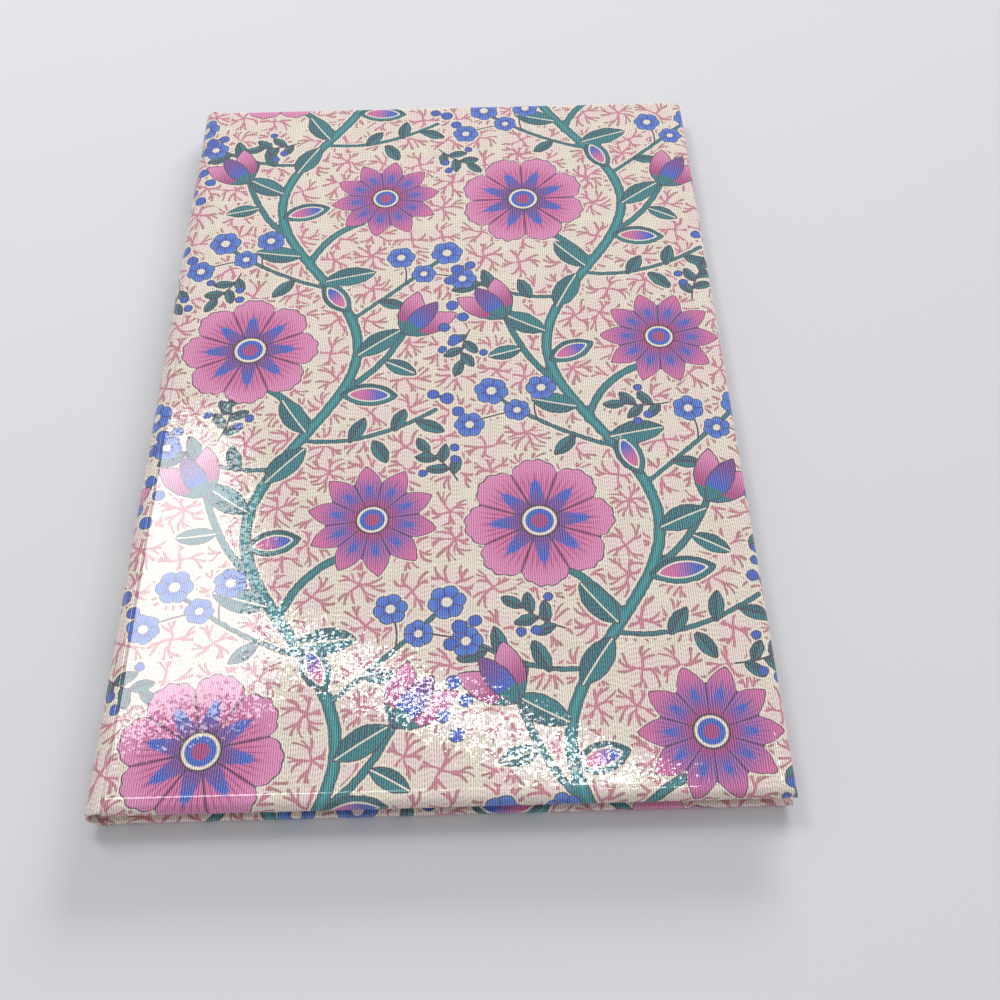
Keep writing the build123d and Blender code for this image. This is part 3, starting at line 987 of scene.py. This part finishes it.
for number in range(1, spine["strips"] + 1):
    bm = bmesh.new()
    sheetLayer = bm.verts.layers.float_vector.new("sheet")
    creaseLayer = bm.verts.layers.float_vector.new("creaseField")
    foot = (hingeX, spine["turnIn"] * mm - straight, spine["endThickness"] * mm)
    edge = bmesh.ops.create_vert(bm, co=foot)["vert"]
    edge = runAlong(bm, edge, -spine["turnIn"] * mm, spine["turnSteps"])
    edge = turnOver(bm, edge, -straight)
    edge = runAlong(bm, edge, 2 * straight, stripRows)
    edge = turnOver(bm, edge, straight)
    runAlong(bm, edge, -spine["turnIn"] * mm, spine["turnSteps"])
    start = Matrix.Rotation(stripTurn * (number - 1), 3, "Y")
    bmesh.ops.rotate(bm, verts=bm.verts, cent=bindingAxis, matrix=start)
    line = bm.verts[:] + bm.edges[:]
    bmesh.ops.spin(bm, geom=line, cent=bindingAxis, axis=(0, 1, 0), angle=stripTurn, steps=spine["steps"])
    bmesh.ops.remove_doubles(bm, verts=bm.verts, dist=tiny)
    bmesh.ops.recalc_face_normals(bm, faces=bm.faces)
    outerFace = max(bm.faces, key=lambda f: outward(f).length - abs(f.calc_center_median().y))
    if outerFace.normal.xz.dot(outward(outerFace)) < 0:
        bmesh.ops.reverse_faces(bm, faces=bm.faces)
    bmesh.ops.solidify(bm, geom=bm.faces, thickness=spine["paper"] * mm)
    for vert in bm.verts:
        vert[sheetLayer] = sheetPlace(vert)
        vert[creaseLayer] = (noCrease, noCrease, noCrease)
    bmesh.ops.recalc_face_normals(bm, faces=bm.faces)
    stripName = "spine_" + str(number)
    replaced = ["spine_paper_" + str(number)]
    piece = addPiece("spineStrip" + str(number), bm, (printedPaper,), stripName, replaced)
    carryPrint(piece.data)
print("covers and spine built")

# index tabs: a tinted patch and its letter, printed on both sides of each leaf's tab
lettering = {
    "size": 3.9, "tintProud": 0.0012, "proud": 0.0025, "sunk": 0.015, "patch": (5.5, 5.2),
    "corner": 0.9, "fromEdge": 3.0, "curveSteps": 4, "cornerSteps": 4,
}
alphabet = "ABCDEFGHIJKLMNOPQRSTUVWXYZ"
tabStep = (leafHigh.y - leafLow.y) / len(alphabet)


# a flat letter as a bmesh, with its foot at the origin
def flatLetter(letter):
    words = bpy.data.curves.new("letter" + letter, "FONT")
    words.body = letter
    words.size = lettering["size"] * mm
    words.align_x = "CENTER"
    words.resolution_u = lettering["curveSteps"]
    shape = bpy.data.objects.new("letter" + letter, words)
    bpy.context.scene.collection.objects.link(shape)
    bpy.context.view_layer.update()
    mesh = bpy.data.meshes.new_from_object(shape.evaluated_get(bpy.context.evaluated_depsgraph_get()))
    bpy.data.objects.remove(shape)
    bm = bmesh.new()
    bm.from_mesh(mesh)
    bpy.data.meshes.remove(mesh)
    return bm


for place, letter in enumerate(alphabet):
    leafName = "leaf_" + letter.lower()
    low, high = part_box(leafName)
    bm = flatLetter(letter)
    tall = max(v.co.y for v in bm.verts)
    lift = (lettering["proud"] - lettering["tintProud"]) * mm
    bmesh.ops.translate(bm, verts=bm.verts, vec=(0, -tall / 2, lift))
    for face in bm.faces:
        face.material_index = 1
    wide, deep = lettering["patch"]
    patchSize = Matrix.Diagonal((wide * mm, deep * mm, 1, 1))
    tint = bmesh.ops.create_grid(bm, x_segments=1, y_segments=1, size=0.5, matrix=patchSize)["verts"]
    bmesh.ops.bevel(bm, geom=tint, offset=lettering["corner"] * mm, offset_type="OFFSET", affect="VERTICES",
                    segments=lettering["cornerSteps"], profile=0.5, material=-1)
    bm.normal_update()
    bmesh.ops.reverse_faces(bm, faces=[f for f in bm.faces if f.normal.z < 0])
    bmesh.ops.solidify(bm, geom=bm.faces, thickness=lettering["sunk"] * mm)
    twin = bmesh.ops.duplicate(bm, geom=bm.verts[:] + bm.edges[:] + bm.faces[:])["geom"]
    behind = [g for g in twin if isinstance(g, bmesh.types.BMVert)]
    ahead = [v for v in bm.verts if v not in set(behind)]
    middleX, middleY = leafHigh.x - lettering["fromEdge"] * mm, leafHigh.y - (place + 0.5) * tabStep
    bmesh.ops.rotate(bm, verts=behind, cent=(0, 0, 0), matrix=Matrix.Rotation(math.pi, 3, "Y"))
    bmesh.ops.translate(bm, verts=ahead, vec=(middleX, middleY, high.z + lettering["tintProud"] * mm))
    bmesh.ops.translate(bm, verts=behind, vec=(middleX, middleY, low.z - lettering["tintProud"] * mm))
    papers = (tabPapers[place % 2], letterInk)
    addPiece("indexTab" + letter, bm, papers, leafName, smooth=False)
print("index letters printed")

# the frame's own pieces get their papers, found by a part of their names
piecePapers = {
    "_pastedown": endpaper, "_flyleaf": endpaper, "leaf_": leafPaper, "spine_liner": linerPaper,
    "_board": greyboard, "sewing_thread": threadFibre,
}
for name, node in nodes.items():
    for words, paper in piecePapers.items():
        if words in name:
            node.data.materials.clear()
            node.data.materials.append(paper)

# floor, light and camera
floorLook = {
    "dark": (0.66, 0.66, 0.67, 1.0), "light": (0.7, 0.7, 0.71, 1.0), "patches": (3.0, 3.0),
    "roughness": 0.9, "half": 2.5, "below": 0.0001,
}
floorPaint, tree, shader = newMaterial("floorPaint")
patches = noise(tree, addNode(tree, "ShaderNodeTexCoord").outputs["Object"], *floorLook["patches"])
tree.links.new(mix(tree, patches, floorLook["dark"], floorLook["light"]), shader.inputs["Base Color"])
shader.inputs["Roughness"].default_value = floorLook["roughness"]
bm = bmesh.new()
floorPlace = Matrix.Translation((0, 0, -floorLook["below"]))
bmesh.ops.create_grid(bm, x_segments=4, y_segments=4, size=floorLook["half"], matrix=floorPlace)
floorMesh = bpy.data.meshes.new("floor")
bm.to_mesh(floorMesh)
bm.free()
floorMesh.materials.append(floorPaint)
floor = bpy.data.objects.new("floor", floorMesh)
bpy.context.scene.collection.objects.link(floor)

# each lamp: place, target, size, power, spin in degrees, and whether the film mirrors it
lamps = {
    "windowLight": ((-0.262, 0.312, 0.6), (-0.262, 0.312, 0), (0.17, 0.255), 1.32, 13, True),
    "skylight": ((-0.016, 0.187, 0.6), (-0.016, 0.187, 0), (0.33, 0.015), 0.4, -26, True),
    "headBox": ((0.6, 1.6, 0.6), (0, 0, 0), (1.0, 0.4), 25.0, 0, False),
    "softBox": ((0.15, -0.55, 0.95), (0, 0, 0), (0.8, 0.8), 0.8, 0, True),
}
for name, (place, target, size, power, spin, mirrored) in lamps.items():
    data = bpy.data.lights.new(name, "AREA")
    data.shape = "RECTANGLE"
    data.size, data.size_y = size
    data.energy = power
    aim = (Vector(target) - Vector(place)).to_track_quat("-Z", "Y").to_matrix().to_4x4()
    light = bpy.data.objects.new(name, data)
    light.matrix_world = Matrix.Translation(place) @ aim @ Matrix.Rotation(math.radians(spin), 4, "Z")
    light.visible_glossy = mirrored
    bpy.context.scene.collection.objects.link(light)

studio = {"Color": (0.93, 0.95, 1.0, 1.0), "Strength": 0.52}
world = bpy.data.worlds.new("studio")
world.use_nodes = True
for name, value in studio.items():
    world.node_tree.nodes["Background"].inputs[name].default_value = value
bpy.context.scene.world = world

# the camera is placed in millimetres and turned in degrees, and its focal length and frame are in pixels
cameraSettings = {
    "place": (8.623, -133.806, 169.237), "pitch": 56.49, "yaw": 0.721, "roll": -0.848, "focal": 1157.8,
    "frame": 1000, "sensor": 36, "nearest": 0.005,
}
pitch, yaw, roll = (math.radians(cameraSettings[k]) for k in ("pitch", "yaw", "roll"))
ahead = Vector((math.sin(yaw) * math.cos(pitch), math.cos(yaw) * math.cos(pitch), -math.sin(pitch)))
level = Vector((math.cos(yaw), -math.sin(yaw), 0))
upright = level.cross(ahead)
right = level * math.cos(roll) + upright * math.sin(roll)
up = upright * math.cos(roll) - level * math.sin(roll)
turn = Matrix((right, up, -ahead)).transposed().to_4x4()
cameraData = bpy.data.cameras.new("camera")
cameraData.sensor_width = cameraSettings["sensor"]
cameraData.lens = cameraSettings["focal"] / cameraSettings["frame"] * cameraSettings["sensor"]
cameraData.clip_start = cameraSettings["nearest"]
camera = bpy.data.objects.new("camera", cameraData)
camera.matrix_world = Matrix.Translation(Vector(cameraSettings["place"]) * mm) @ turn
bpy.context.scene.collection.objects.link(camera)
bpy.context.scene.camera = camera
bpy.context.scene.view_settings.view_transform = "Standard"
print("camera and light set")
